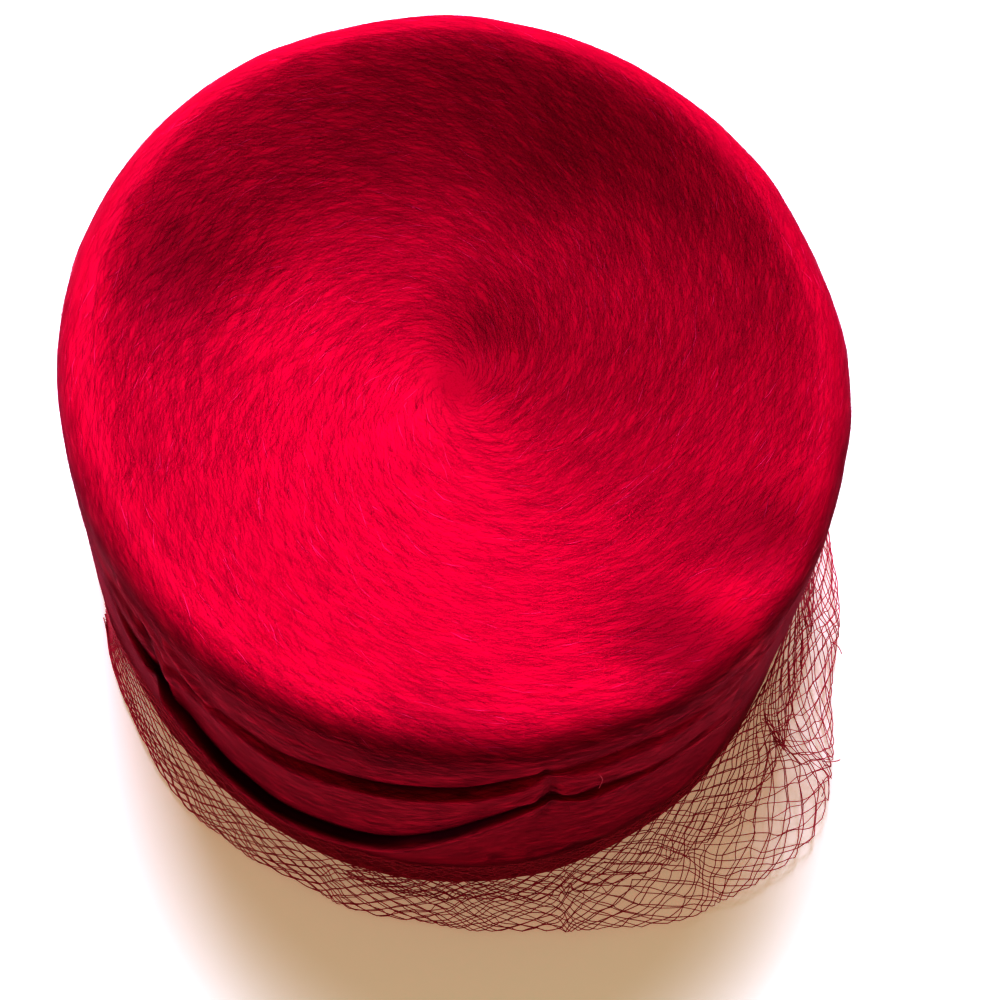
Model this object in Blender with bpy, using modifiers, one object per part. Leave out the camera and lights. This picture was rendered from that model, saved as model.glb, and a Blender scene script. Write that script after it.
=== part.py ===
"""Pillbox hat: a one-piece felt crown with two draped tucks, and a net veil round its front.

Metres, +Z up. The origin is the centre of the head opening, at the height of the lower rim.
The front is -Y and the wearer's right-hand side is -X. An azimuth is the angle round the ovals,
0 at +X and -90 at the front.
"""

from collections import namedtuple
from math import cos, exp, hypot, pi, radians, sin

import bmesh
import bpy

# Head opening, inside the felt
HEAD_WIDTH = 0.168
HEAD_LENGTH = 0.188
FELT = 0.0025

# Widest ring of the rolled shoulder, outside the felt
SHOULDER_WIDTH = 0.1732
SHOULDER_LENGTH = 0.1848
SHOULDER_HEIGHT = 0.0775

# Roll from the widest ring up to the rim of the tip, and the dish inside that rim
ROLL_RISE = 0.0095
ROLL_REACH = 0.0090
DISH_DEPTH = 0.0165
DISH_FLATNESS = 3.0
DISH_FULLNESS = 1.3
DENT_FADE = 6.0

# Tucks: the folded edge of each stands proud of the wall, behind it the pocket is set in
UPPER_STAND = 0.0026
LOWER_STAND = 0.0040
POCKET_INSET = 0.0018
UPPER_EDGE_RISE = 0.0010
LOWER_EDGE_RISE = 0.0068
EDGE_ROUND = 0.0030
BAND_TOP = 0.0150

# Vertical crease where the tucks are tacked together at the front
TACK_AZIMUTH = -91.0
TACK_SPREAD = 6.0
TACK_DEPTH = 0.0012

# Shares of the way down, and of how far the fold stands out, that shape the wall between its named heights
UNDER_ROLL_WAY = 0.6
UNDER_ROLL_INSET = 0.2
FACE_WAY = 0.45
FACE_STAND = 0.45
LIP_WAY = 0.80
LIP_STAND = 0.25
EDGE_BACK_STAND = 0.40
EDGE_DROP = 0.35
UNDER_EDGE_STAND = 0.62
VEIL_BEND = 0.15

# Veil
VEIL_TOP = 0.0135
VEIL_REACH = 0.0290
VEIL_THICKNESS = 0.0010
VEIL_STRAND = 0.0014
VEIL_CLEARANCE = 0.0004
VEIL_FOOT = 0.0002
VEIL_FROM = -180.0
VEIL_TO = 10.0
VEIL_CELLS_LONG = 29
VEIL_ROWS = 3

# Fineness of the crown's mesh
FOLDS_FROM = -165.0
FOLDS_TO = -70.0
COLUMNS_IN_FOLDS = 38
COLUMNS_OUTSIDE = 42
STEPS_PER_ROW = 2
DISH_ROWS = 8
ROLL_ROWS = 4

RED = (0.62, 0.0, 0.022, 1.0)
VEIL_RED = (0.33, 0.0, 0.02, 1.0)

# Height of each pocket as a share of SHOULDER_HEIGHT, and how far each tuck is folded out, 0 to 1
Drape = namedtuple("Drape", "azimuth upper_height upper_fold lower_height lower_fold")
DRAPES = (
    Drape(-200, 0.80, 0.00, 0.52, 0.00),
    Drape(-178, 0.80, 0.00, 0.56, 0.00),
    Drape(-166, 0.81, 0.35, 0.62, 0.10),
    Drape(-157, 0.82, 0.65, 0.64, 0.45),
    Drape(-150, 0.81, 0.75, 0.60, 0.85),
    Drape(-147, 0.80, 0.80, 0.50, 0.95),
    Drape(-143, 0.79, 0.85, 0.40, 1.00),
    Drape(-137, 0.77, 0.90, 0.32, 1.00),
    Drape(-129, 0.75, 1.00, 0.27, 1.00),
    Drape(-121, 0.77, 1.00, 0.28, 1.00),
    Drape(-113, 0.80, 1.00, 0.35, 1.00),
    Drape(-105, 0.84, 0.90, 0.48, 0.95),
    Drape(-97, 0.89, 0.75, 0.64, 0.75),
    Drape(-91, 0.91, 0.40, 0.71, 0.35),
    Drape(-86, 0.92, 0.55, 0.71, 0.35),
    Drape(-76, 0.93, 0.45, 0.67, 0.22),
    Drape(-60, 0.90, 0.20, 0.62, 0.10),
    Drape(-40, 0.86, 0.00, 0.56, 0.00),
    Drape(0, 0.80, 0.00, 0.52, 0.00),
    Drape(160, 0.80, 0.00, 0.52, 0.00),
)

# How far the veil's outer edge lies outside the base, as a share of VEIL_REACH
Flare = namedtuple("Flare", "azimuth reach")
FLARES = (
    Flare(-180, 0.11),
    Flare(-168, 0.13),
    Flare(-155, 0.20),
    Flare(-146, 0.28),
    Flare(-127, 0.31),
    Flare(-108, 0.35),
    Flare(-96, 0.42),
    Flare(-82, 0.62),
    Flare(-66, 0.90),
    Flare(-56, 1.00),
    Flare(-47, 0.75),
    Flare(-38, 0.53),
    Flare(-24, 0.40),
    Flare(-8, 0.27),
    Flare(10, 0.15),
)


# Dents in the tip: share of the way out, depth as a share of DISH_DEPTH, radius as a share of SHOULDER_WIDTH
Dent = namedtuple("Dent", "azimuth share depth radius")
DENTS = (
    Dent(150, 0.70, 0.30, 0.107),
    Dent(115, 0.60, 0.10, 0.098),
    Dent(44, 0.66, 0.08, 0.086),
    Dent(-72, 0.53, 0.07, 0.097),
    Dent(69, 0.31, -0.11, 0.088),
    Dent(-104, 0.81, -0.08, 0.088),
    Dent(-34, 0.82, -0.10, 0.100),
)


def mix(first, second, share):
    return first + (second - first) * share


def slope(table, column, index):
    """Slope of a column at a row: zero at the ends and where the column turns, so it never overshoots."""
    if index in (0, len(table) - 1):
        return 0.0
    before, here, after = table[index - 1 : index + 2]
    value = getattr(here, column)
    left = (value - getattr(before, column)) / (here.azimuth - before.azimuth)
    right = (getattr(after, column) - value) / (after.azimuth - here.azimuth)
    if left * right <= 0.0:
        return 0.0
    return 2.0 * left * right / (left + right)


def read_table(table, column, azimuth):
    """Smooth value of a table's column at an azimuth in degrees."""
    if azimuth <= table[0].azimuth:
        return getattr(table[0], column)
    if azimuth >= table[-1].azimuth:
        return getattr(table[-1], column)
    index = max(i for i, row in enumerate(table) if row.azimuth <= azimuth)
    index = min(index, len(table) - 2)
    start, end = table[index], table[index + 1]
    width = end.azimuth - start.azimuth
    t = (azimuth - start.azimuth) / width
    ease = t * t * (3.0 - 2.0 * t)
    return (
        mix(getattr(start, column), getattr(end, column), ease)
        + slope(table, column, index) * width * t * (1.0 - t) ** 2
        - slope(table, column, index + 1) * width * t * t * (1.0 - t)
    )


def smooth_line(points, steps):
    """Catmull-Rom curve through the points, with the given number of steps between two of them."""
    line = []
    for i in range(len(points) - 1):
        before = points[max(i - 1, 0)]
        start, end = points[i], points[i + 1]
        after = points[min(i + 2, len(points) - 1)]
        for step in range(steps):
            t = step / steps
            line.append(
                tuple(
                    0.5
                    * (
                        2.0 * p1
                        + (p2 - p0) * t
                        + (2.0 * p0 - 5.0 * p1 + 4.0 * p2 - p3) * t * t
                        + (3.0 * p1 - p0 - 3.0 * p2 + p3) * t**3
                    )
                    for p0, p1, p2, p3 in zip(before, start, end, after)
                )
            )
    return line + [points[-1]]


def wall_point(azimuth, height, offset):
    """A point of the wall, offset outwards from the ruled surface between base and shoulder."""
    share = height / SHOULDER_HEIGHT
    half_width = mix(HEAD_WIDTH / 2 + FELT, SHOULDER_WIDTH / 2, share) + offset
    half_length = mix(HEAD_LENGTH / 2 + FELT, SHOULDER_LENGTH / 2, share) + offset
    angle = radians(azimuth)
    return (half_width * cos(angle), half_length * sin(angle), height)


def tip_point(azimuth, inset, height, share=1.0):
    """A point of the tip, inset from the shoulder's widest ring, or a share of the way out to it."""
    angle = radians(azimuth)
    half_width = (SHOULDER_WIDTH / 2 - inset) * share
    half_length = (SHOULDER_LENGTH / 2 - inset) * share
    return (half_width * cos(angle), half_length * sin(angle), height)


def edge_height(pocket, fold, rise):
    """Height of a tuck's folded edge: above its pocket when folded, a little below it when flat."""
    return pocket + rise * fold - EDGE_ROUND * (1.0 - fold)


def tack_depth(azimuth):
    """Depth of the tack's crease at an azimuth."""
    return TACK_DEPTH * max(0.0, 1.0 - abs(azimuth - TACK_AZIMUTH) / TACK_SPREAD) ** 2


def outer_wall(azimuth):
    """Heights and offsets down the outside of the wall, from the shoulder to the lower rim."""
    upper_fold = read_table(DRAPES, "upper_fold", azimuth)
    lower_fold = read_table(DRAPES, "lower_fold", azimuth)
    upper = read_table(DRAPES, "upper_height", azimuth) * SHOULDER_HEIGHT
    lower = read_table(DRAPES, "lower_height", azimuth) * SHOULDER_HEIGHT
    upper_edge = edge_height(upper, upper_fold, UPPER_EDGE_RISE)
    lower_edge = edge_height(lower, lower_fold, LOWER_EDGE_RISE)
    under_edge = max(lower_edge - 2.0 * EDGE_ROUND, BAND_TOP + EDGE_ROUND / 2)
    upper_stand = UPPER_STAND * upper_fold
    lower_stand = LOWER_STAND * lower_fold
    tack = tack_depth(azimuth)
    rows = [
        (SHOULDER_HEIGHT, 0.0),
        (mix(SHOULDER_HEIGHT, upper, UNDER_ROLL_WAY), -UNDER_ROLL_INSET * POCKET_INSET * upper_fold),
        (upper, -POCKET_INSET * upper_fold),
        (upper_edge, upper_stand - tack),
        (upper_edge - EDGE_ROUND, upper_stand - tack),
        (mix(upper_edge, lower, FACE_WAY), FACE_STAND * upper_stand - tack),
        (mix(upper_edge, lower, LIP_WAY), LIP_STAND * upper_stand - tack),
        (lower, -POCKET_INSET * lower_fold),
        (lower_edge, EDGE_BACK_STAND * lower_stand),
        (lower_edge - EDGE_DROP * EDGE_ROUND, lower_stand),
        (under_edge, UNDER_EDGE_STAND * lower_stand),
        (BAND_TOP, 0.0),
        (BAND_TOP / 2, 0.0),
    ]
    return smooth_line(rows, STEPS_PER_ROW) + [(0.0, 0.0)]


def inner_wall(azimuth):
    """Heights and offsets up the inside of the wall, from the lower rim to the shoulder."""
    upper_fold = read_table(DRAPES, "upper_fold", azimuth)
    lower_fold = read_table(DRAPES, "lower_fold", azimuth)
    upper = read_table(DRAPES, "upper_height", azimuth) * SHOULDER_HEIGHT
    lower = read_table(DRAPES, "lower_height", azimuth) * SHOULDER_HEIGHT
    return [
        (0.0, -FELT),
        (BAND_TOP / 2, -FELT),
        (lower, -FELT - POCKET_INSET * lower_fold),
        (mix(lower, upper, 0.5), -FELT),
        (upper, -FELT - POCKET_INSET * upper_fold),
        (SHOULDER_HEIGHT, -FELT),
    ]


def dent_depth(azimuth, share):
    """How deep the dents are at a point of the tip. They fade out towards its rim."""
    x, y, _ = tip_point(azimuth, ROLL_REACH, 0.0, share)
    depth = 0.0
    for dent in DENTS:
        middle_x, middle_y, _ = tip_point(dent.azimuth, ROLL_REACH, 0.0, dent.share)
        away = hypot(x - middle_x, y - middle_y) / (dent.radius * SHOULDER_WIDTH)
        depth += dent.depth * DISH_DEPTH * exp(-away * away)
    return depth * (1.0 - share**DENT_FADE)


def dish_height(azimuth, share):
    """Height of the tip's outer face, at a share of the way from its centre to its rim."""
    dish = DISH_DEPTH * (1.0 - share**DISH_FLATNESS) ** DISH_FULLNESS
    return SHOULDER_HEIGHT + ROLL_RISE - dish - dent_depth(azimuth, share)


def tip_section(azimuth, wall):
    """Points of the tip from the rim of the dish's first ring out to the shoulder, set in by a wall."""
    points = []
    for row in range(1, DISH_ROWS):
        share = row / DISH_ROWS
        points.append(tip_point(azimuth, ROLL_REACH, dish_height(azimuth, share) - wall, share))
    for row in range(ROLL_ROWS):
        turn = pi / 2 * (1.0 - row / ROLL_ROWS)
        inset = wall + (ROLL_REACH - wall) * (1.0 - cos(turn))
        points.append(tip_point(azimuth, inset, SHOULDER_HEIGHT + (ROLL_RISE - wall) * sin(turn)))
    return points


def crown_azimuths():
    """Azimuths of the mesh's columns, closer together where the felt is folded."""
    folds = FOLDS_TO - FOLDS_FROM
    inside = [FOLDS_FROM + folds * i / COLUMNS_IN_FOLDS for i in range(COLUMNS_IN_FOLDS)]
    outside = [FOLDS_TO + (360.0 - folds) * i / COLUMNS_OUTSIDE for i in range(COLUMNS_OUTSIDE)]
    return inside + [azimuth if azimuth < 160.0 else azimuth - 360.0 for azimuth in outside]


def make_crown():
    sections = []
    for azimuth in crown_azimuths():
        section = tip_section(azimuth, 0.0)
        section += [wall_point(azimuth, *row) for row in outer_wall(azimuth)]
        section += [wall_point(azimuth, *row) for row in inner_wall(azimuth)]
        section += list(reversed(tip_section(azimuth, FELT)))
        sections.append(section)
    mesh = bpy.data.meshes.new("crown")
    shell = bmesh.new()
    middle = dish_height(0.0, 0.0)
    top = shell.verts.new((0.0, 0.0, middle))
    under = shell.verts.new((0.0, 0.0, middle - FELT))
    columns = [[shell.verts.new(point) for point in section] for section in sections]
    for first, second in zip(columns, columns[1:] + columns[:1]):
        shell.faces.new((top, first[0], second[0]))
        shell.faces.new((under, second[-1], first[-1]))
        for row in range(len(first) - 1):
            shell.faces.new((first[row], first[row + 1], second[row + 1], second[row]))
    shell.to_mesh(mesh)
    shell.free()
    mesh.shade_smooth()
    mesh.set_sharp_from_angle(angle=radians(50.0))
    return bpy.data.objects.new("crown", mesh)


def veil_point(azimuth, share):
    """A point of the veil's middle surface, 0 at its top edge on the band and 1 at its outer edge."""
    start = VEIL_CLEARANCE + VEIL_THICKNESS / 2
    foot = VEIL_FOOT + VEIL_THICKNESS / 2
    reach = start + read_table(FLARES, "reach", azimuth) * VEIL_REACH
    bend = mix(start, reach, VEIL_BEND)
    stay = (1.0 - share) ** 2
    turn = 2.0 * share * (1.0 - share)
    offset = stay * start + turn * bend + share * share * reach
    height = stay * VEIL_TOP + (1.0 - stay) * foot
    return wall_point(azimuth, height, offset)


def make_veil():
    """Diamond cells in staggered rows and half cells along the selvage, each opened by an inset."""
    long_steps = 2 * VEIL_CELLS_LONG
    wide_steps = VEIL_ROWS + 1
    mesh = bpy.data.meshes.new("veil")
    net = bmesh.new()
    knots = {}
    for i in range(long_steps + 1):
        azimuth = mix(VEIL_FROM, VEIL_TO, i / long_steps)
        for j in range(i % 2, wide_steps + 1, 2):
            knots[i, j] = net.verts.new(veil_point(azimuth, j / wide_steps))
    for i in range(1, long_steps):
        for j in range(1 + i % 2, wide_steps + 1, 2):
            around = ((i - 1, j), (i, j - 1), (i + 1, j), (i, j + 1))
            net.faces.new([knots[place] for place in around if place in knots])
    net.normal_update()
    inner = list(net.faces)
    bmesh.ops.inset_individual(net, faces=inner, thickness=VEIL_STRAND / 2, use_even_offset=True)
    bmesh.ops.delete(net, geom=inner, context="FACES")
    loose = [vert for vert in net.verts if not vert.link_faces]
    bmesh.ops.delete(net, geom=loose, context="VERTS")
    net.to_mesh(mesh)
    net.free()
    veil = bpy.data.objects.new("veil", mesh)
    walls = veil.modifiers.new("walls", "SOLIDIFY")
    walls.thickness = VEIL_THICKNESS
    walls.offset = 0.0
    return veil


def make_material(name, colour, roughness):
    material = bpy.data.materials.new(name)
    material.use_nodes = True
    shader = material.node_tree.nodes["Principled BSDF"]
    shader.inputs["Base Color"].default_value = colour
    shader.inputs["Roughness"].default_value = roughness
    shader.inputs["Metallic"].default_value = 0.0
    return material


def clear_scene():
    for thing in list(bpy.data.objects):
        bpy.data.objects.remove(thing, do_unlink=True)


def main():
    clear_scene()
    hat = bpy.data.collections.new("pillbox_hat")
    bpy.context.scene.collection.children.link(hat)
    crown = make_crown()
    crown.data.materials.append(make_material("felt", RED, 0.85))
    veil = make_veil()
    veil.data.materials.append(make_material("veiling", VEIL_RED, 0.6))
    for piece in (crown, veil):
        hat.objects.link(piece)


main()
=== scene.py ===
"""Looks of the pillbox hat: long-napped red felt with two draped tucks, and a net veil round its front.

Metres, +Z up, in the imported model's frame. The front is -Y. An azimuth is the angle round the hat's ovals in
degrees, 0 at +X and -90 at the front, and it grows anticlockwise as seen from above.
"""

from collections import namedtuple
from math import cos, exp, pi, radians, sin

import bpy
import numpy as np
from mathutils import Matrix, Vector, noise


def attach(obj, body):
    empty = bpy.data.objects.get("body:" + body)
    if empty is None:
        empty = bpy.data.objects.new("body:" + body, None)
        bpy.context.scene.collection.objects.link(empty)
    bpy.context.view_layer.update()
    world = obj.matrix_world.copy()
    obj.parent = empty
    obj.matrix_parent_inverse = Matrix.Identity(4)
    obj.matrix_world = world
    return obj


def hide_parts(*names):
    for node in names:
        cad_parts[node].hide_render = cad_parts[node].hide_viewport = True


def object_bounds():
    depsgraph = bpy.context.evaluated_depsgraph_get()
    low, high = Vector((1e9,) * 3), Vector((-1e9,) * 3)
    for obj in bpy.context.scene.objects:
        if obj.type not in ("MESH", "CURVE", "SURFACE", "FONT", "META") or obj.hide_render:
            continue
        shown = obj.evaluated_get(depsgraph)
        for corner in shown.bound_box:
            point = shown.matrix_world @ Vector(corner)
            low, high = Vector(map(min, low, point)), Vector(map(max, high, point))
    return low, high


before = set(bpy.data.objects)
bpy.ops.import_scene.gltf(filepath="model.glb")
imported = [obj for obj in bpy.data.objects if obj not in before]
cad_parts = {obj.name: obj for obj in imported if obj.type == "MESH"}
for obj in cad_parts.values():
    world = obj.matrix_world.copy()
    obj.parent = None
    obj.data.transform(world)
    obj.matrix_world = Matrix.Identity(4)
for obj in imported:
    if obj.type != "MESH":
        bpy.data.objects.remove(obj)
cad_low, cad_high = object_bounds()

# Head opening, inside the felt
HEAD_WIDTH = 0.168
HEAD_LENGTH = 0.188
FELT = 0.0025

# Widest ring of the rolled shoulder, outside the felt
SHOULDER_WIDTH = 0.1732
SHOULDER_LENGTH = 0.1848
SHOULDER_HEIGHT = 0.0775

# Roll from the widest ring up to the rim of the tip, and the dish inside that rim
ROLL_RISE = cad_high.z - SHOULDER_HEIGHT
ROLL_REACH = 0.0090
DISH_DEPTH = 0.0165
DISH_FLATNESS = 3.0
DISH_FULLNESS = 1.3
DENT_FADE = 6.0

# Tucks: the folded edge of each stands proud of the wall, and the pocket behind it is set in. The edges rise
# above their pockets, and the lower tuck ends above a plain band.
UPPER_STAND = 0.0026
LOWER_STAND = 0.0040
POCKET_INSET = 0.0018
UPPER_EDGE_RISE = 0.0010
LOWER_EDGE_RISE = 0.0068
EDGE_ROUND = 0.0030
BAND_TOP = 0.0150

# Pockets: extra depth where they are painted dark, height of the upper slit, inset of the upper one as a share
# of
# POCKET_INSET, its lip's as a share of that, and how much lower its edge hangs where it is faint
POCKET_SLIT = 0.0010
SLIT_HEIGHT = 0.0022
UPPER_SLACK = 0.35
SLIT_LIP = 0.6
SOFT_DROP = 0.0035

# Vertical crease where the tucks are tacked together at the front
TACK_AZIMUTH = -91.0
TACK_SPREAD = 6.0
TACK_DEPTH = 0.0008

# Shares of the way down, and of how far the fold stands out, that shape the wall between its named heights
UNDER_ROLL_WAY = 0.6
UNDER_ROLL_INSET = 0.2
FACE_WAY = 0.45
FACE_STAND = 0.45
LIP_WAY = 0.80
LIP_STAND = 0.25
EDGE_DROP = 0.35
UNDER_EDGE_STAND = 0.62
LEDGE_WAY = 0.35
LOWER_BACK_STAND = 0.60

# How dark the rows beside a pocket are painted, as a share of the pocket's painted shade
LEDGE_SHADE = 0.05
LIP_SHADE = 0.2
LOWER_BACK_SHADE = 0.9

# Fineness of the felt's mesh
FOLDS_FROM = -170.0
FOLDS_TO = -60.0
COLUMNS_IN_FOLDS = 300
COLUMNS_OUTSIDE = 190
STEPS_PER_ROW = 6
DISH_ROWS = 30
ROLL_ROWS = 12
UNDER_ROWS = 10

# Nap's shading: how far its normals lean over, and which way in degrees, from straight round the hat towards
# straight down the felt, at the tip's middle and outside it. The whorl at the centre has its own way.
LEAN = 0.46
LEAN_TURN_MIDDLE = 25.0
LEAN_TURN = 54.0
WHORL_WAY = (0.0, 0.45, 0.0)

# Shares of the dish's rows where the lean has turned, where it is full and where it starts to fade, the share
# of the roll's rows where it has faded, and what is left of it from there on
LEAN_TURNED = 0.5
LEAN_STEADY = 0.15
LEAN_RIM = 0.92
LEAN_FADED = 0.5
ROLL_LEAN = 0.40

# Way of the hairs in degrees, outwards from a circle round the hat. Much of the turn is made early, near the
# tip's middle, and the spread is from hair to hair.
SWIRL_MIDDLE = 46.0
SWIRL_RIM = 17.0
SWIRL_WALL = 6.0
SWIRL_EARLY_ROWS = 0.25
SWIRL_EARLY_TURN = 0.6
SWIRL_SPREAD = 13.0

# Hairs: ranges as shares of the length and the radius, lifts of the three points as shares of the lift, curl
# in degrees, and the section's corners and flatness
HAIRS_A_PIECE = 21000
NAP_PIECES = 5
NAP_SEED = 100
HAIR_LENGTH = 0.0100
HAIR_LENGTHS = (0.5, 1.25)
HAIR_RADIUS = 0.000060
HAIR_RADII = (0.6, 1.3)
HAIR_LIFT = 0.00022
HAIR_LIFT_SPREAD = 0.5
POINT_LIFTS = (-0.1, 0.5, 0.8)
HAIR_CURL = 12.0
HAIR_CORNERS = (90.0, 210.0, 330.0)
HAIR_FLATNESS = 0.2

# Shorter hairs: their share of the length on the wall, and the longest at the tip's centre and its growth
# outwards. Rows at the lower rim without roots, least step of the grid, and rows a hair stops before the end.
WALL_HAIR = 0.6
MIDDLE_HAIR = 0.002
MIDDLE_HAIR_GROWTH = 0.55
BARE_ROWS = 2
SMALLEST_STEP = 1e-5
ROWS_SHORT = 1.01

# Tone of the hairs: how much it varies between clumps and between hairs, and the share painted as glints, a
# painted highlight
CLUMP_SIZE = 0.0040
CLUMP_TONE = 0.14
HAIR_TONE = 0.12
PAINTED_GLINT_SHARE = 0.010

# Unevenness of the blocked felt in two sizes, and the sag of its rim, which keeps to the back and to the top
UNEVEN = 0.0008
UNEVEN_SIZE = 0.030
UNEVEN_FINE = 0.0003
UNEVEN_FINE_SIZE = 0.011
NOISE_SHIFT = (17.3, -9.1, 4.7)
BACK_SAG = 0.0020
SAG_TO_BACK = 2
SAG_TO_TOP = 4

# Painted shade: how dark a crease a metre deep would be, how sharply pockets darken, the shade on the wall and
# the height over which it sets in, and the height over which the tip's painted shade spots fade below the
# shoulder
CREASE_SHADE = 380.0
GLOOM_EDGE = 1.4
PAINTED_WALL_SHADE = 0.15
PAINTED_WALL_SHADE_FADE = 0.02
SPOT_FADE = 0.01

# Net veil: its sewn edge, widest reach past the base, gaps to the felt and the table, bend, how it stands off
# where it is sewn higher, flat size, and the share of it that is thread
NET_TOP = 0.0135
NET_REACH = 0.0290
NET_CLEARANCE = 0.0006
NET_FOOT = 0.0006
NET_BEND = 0.15
NET_STAND = 0.0010

# Threads of the net, and how unevenly their knots lie
NET_FROM = -173.0
NET_TO = 12.0
NET_COLUMNS = 64
NET_ROWS = 13
NET_SEED = 7
NET_THREAD = 0.000105
THREAD_SIDES = 4
NET_KNOT = 0.00020
STEPS_PER_SIDE = 3
NET_CROWDING = 0.45
NET_JITTER = 0.16
NET_SLACK = 0.06

# Waves in the net: how close they are round the hat and down the net, where each layer and use reads the
# noise, the sway in degrees and its growth, the slide outwards, and the height of the billows
NET_WAVES = (7.0, 2.5)
NOISE_START = 3.0
NOISE_PER_LAYER = 11.0
SLIDE_NOISE = 20.0
BILLOW_NOISE = 40.0
NET_SWAY = 2.0
SWAY_GROWTH = 1.6
NET_SLIDE = 0.06
NET_BILLOW = 0.003
BILLOW_RAISE = 0.3

# Height between layers of net, and how it grows over the part that is folded back and at its folded edge
NET_LAYER = 0.0012
FOLD_WAY = 0.08
FOLD_ARCH = 0.6
FOLD_ARCH_WAY = 0.5
EDGE_WAY = 0.12
PLEAT_FULLNESS = 0.7

# Loose fibres on the wall, and frayed ends at the net's outer edge
STRAY_STAND = 0.0042
STRAY_STEPS = 4
FRAY_FROM = 0.72
FRAY_SPREAD = 0.9
FRAY_TURN = 0.16
FRAY_STEP = (0.0003, 0.0006)
FRAY_STEPS = 8
FRAY_RISE = 0.25
FRAY_WAVE = 0.8

# The photo's camera: its place and axes, and its lens and frame in millimetres
CAMERA_AT = (-0.07216, -0.21031, 0.50903)
CAMERA_RIGHT = (0.96722, -0.24570, 0.06412)
CAMERA_UP = (0.20038, 0.89360, 0.40165)
CAMERA_BACK = (-0.15598, -0.37564, 0.91355)
CAMERA_LENS = 79.2
CAMERA_SENSOR = 36.0

# Height of each pocket as a share of SHOULDER_HEIGHT, and how far each tuck is folded out, 0 to 1
Drape = namedtuple("Drape", "azimuth upper_height upper_fold lower_height lower_fold")
DRAPES = (
    Drape(-200, 0.80, 0.00, 0.52, 0.00),
    Drape(-178, 0.80, 0.00, 0.56, 0.00),
    Drape(-166, 0.81, 0.20, 0.62, 0.10),
    Drape(-157, 0.82, 0.30, 0.64, 0.45),
    Drape(-150, 0.81, 0.35, 0.60, 0.85),
    Drape(-147, 0.80, 0.38, 0.50, 0.95),
    Drape(-143, 0.79, 0.42, 0.40, 1.00),
    Drape(-137, 0.77, 0.50, 0.32, 1.00),
    Drape(-129, 0.75, 0.65, 0.27, 1.00),
    Drape(-121, 0.77, 0.80, 0.28, 1.00),
    Drape(-113, 0.80, 0.90, 0.35, 1.00),
    Drape(-105, 0.84, 0.90, 0.48, 0.95),
    Drape(-97, 0.89, 0.75, 0.64, 0.75),
    Drape(-91, 0.91, 0.40, 0.71, 0.35),
    Drape(-86, 0.92, 0.55, 0.71, 0.35),
    Drape(-76, 0.93, 0.45, 0.67, 0.22),
    Drape(-60, 0.90, 0.20, 0.62, 0.10),
    Drape(-40, 0.86, 0.00, 0.56, 0.00),
    Drape(0, 0.80, 0.00, 0.52, 0.00),
    Drape(160, 0.80, 0.00, 0.52, 0.00),
)

# How much shade is painted into each pocket, and how slit-like it is, 0 to 1
Gloom = namedtuple("Gloom", "azimuth upper lower")
GLOOMS = (
    Gloom(-170, 0.00, 0.00),
    Gloom(-158, 0.00, 0.10),
    Gloom(-150, 0.05, 0.85),
    Gloom(-146, 0.08, 0.70),
    Gloom(-138, 0.15, 1.00),
    Gloom(-129, 0.30, 1.00),
    Gloom(-121, 0.70, 1.00),
    Gloom(-113, 1.00, 0.85),
    Gloom(-110, 1.00, 0.60),
    Gloom(-106, 1.00, 1.00),
    Gloom(-98, 0.85, 0.70),
    Gloom(-92, 0.55, 0.25),
    Gloom(-84, 0.25, 0.10),
    Gloom(-70, 0.10, 0.00),
    Gloom(-55, 0.00, 0.00),
)

# How far the veil's outer edge lies outside the base as a share of NET_REACH, how much of the net is folded
# back over itself there, and the height of its sewn edge as a share of NET_TOP
Flare = namedtuple("Flare", "azimuth reach back top")
FLARES = (
    Flare(-173, 0.04, 0.05, 0.9),
    Flare(-168, 0.10, 0.20, 1.4),
    Flare(-155, 0.20, 0.35, 2.1),
    Flare(-146, 0.28, 0.45, 1.5),
    Flare(-127, 0.31, 0.50, 1.0),
    Flare(-108, 0.35, 0.50, 1.0),
    Flare(-96, 0.42, 0.45, 1.0),
    Flare(-82, 0.62, 0.40, 1.0),
    Flare(-66, 0.90, 0.40, 1.0),
    Flare(-56, 1.00, 0.45, 1.0),
    Flare(-47, 0.78, 0.55, 1.0),
    Flare(-38, 0.58, 0.60, 1.1),
    Flare(-24, 0.45, 0.60, 1.2),
    Flare(-8, 0.30, 0.50, 1.4),
    Flare(12, 0.15, 0.30, 1.6),
)

# Pleats that the net is drawn into: width in degrees, how strongly it is drawn, and how high it stands
Pleat = namedtuple("Pleat", "azimuth width pull rise")
PLEATS = (
    Pleat(-158, 6, 0.40, 0.0012),
    Pleat(-138, 6, 0.35, 0.0010),
    Pleat(-121, 5, 0.45, 0.0015),
    Pleat(-104, 5, 0.35, 0.0014),
    Pleat(-88, 6, 0.50, 0.0022),
    Pleat(-70, 5, 0.45, 0.0030),
    Pleat(-49, 8, 0.78, 0.0050),
    Pleat(-31, 5, 0.50, 0.0030),
    Pleat(-14, 6, 0.50, 0.0025),
)

# Layers of the gathered net: azimuths where each starts and ends, and how much of the way out it reaches
Layer = namedtuple("Layer", "number start end columns rows reach")
LAYERS = (
    Layer(0, NET_FROM, NET_TO, NET_COLUMNS, NET_ROWS, 1.0),
    Layer(1, -118.0, 10.0, 42, 8, 0.62),
)

# Azimuths of frayed ends at the net's outer edge
FRAYS = (-52, -47, -44, -33, -24, -6)

# Fibres that stand off the wall, as (azimuth, share of SHOULDER_HEIGHT) from end to end
STRAYS = (
    ((-85.8, 0.98), (-85.2, 0.93), (-85.4, 0.87)),
    ((-68.5, 0.86), (-65.0, 0.83), (-62.5, 0.84)),
)

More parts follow.
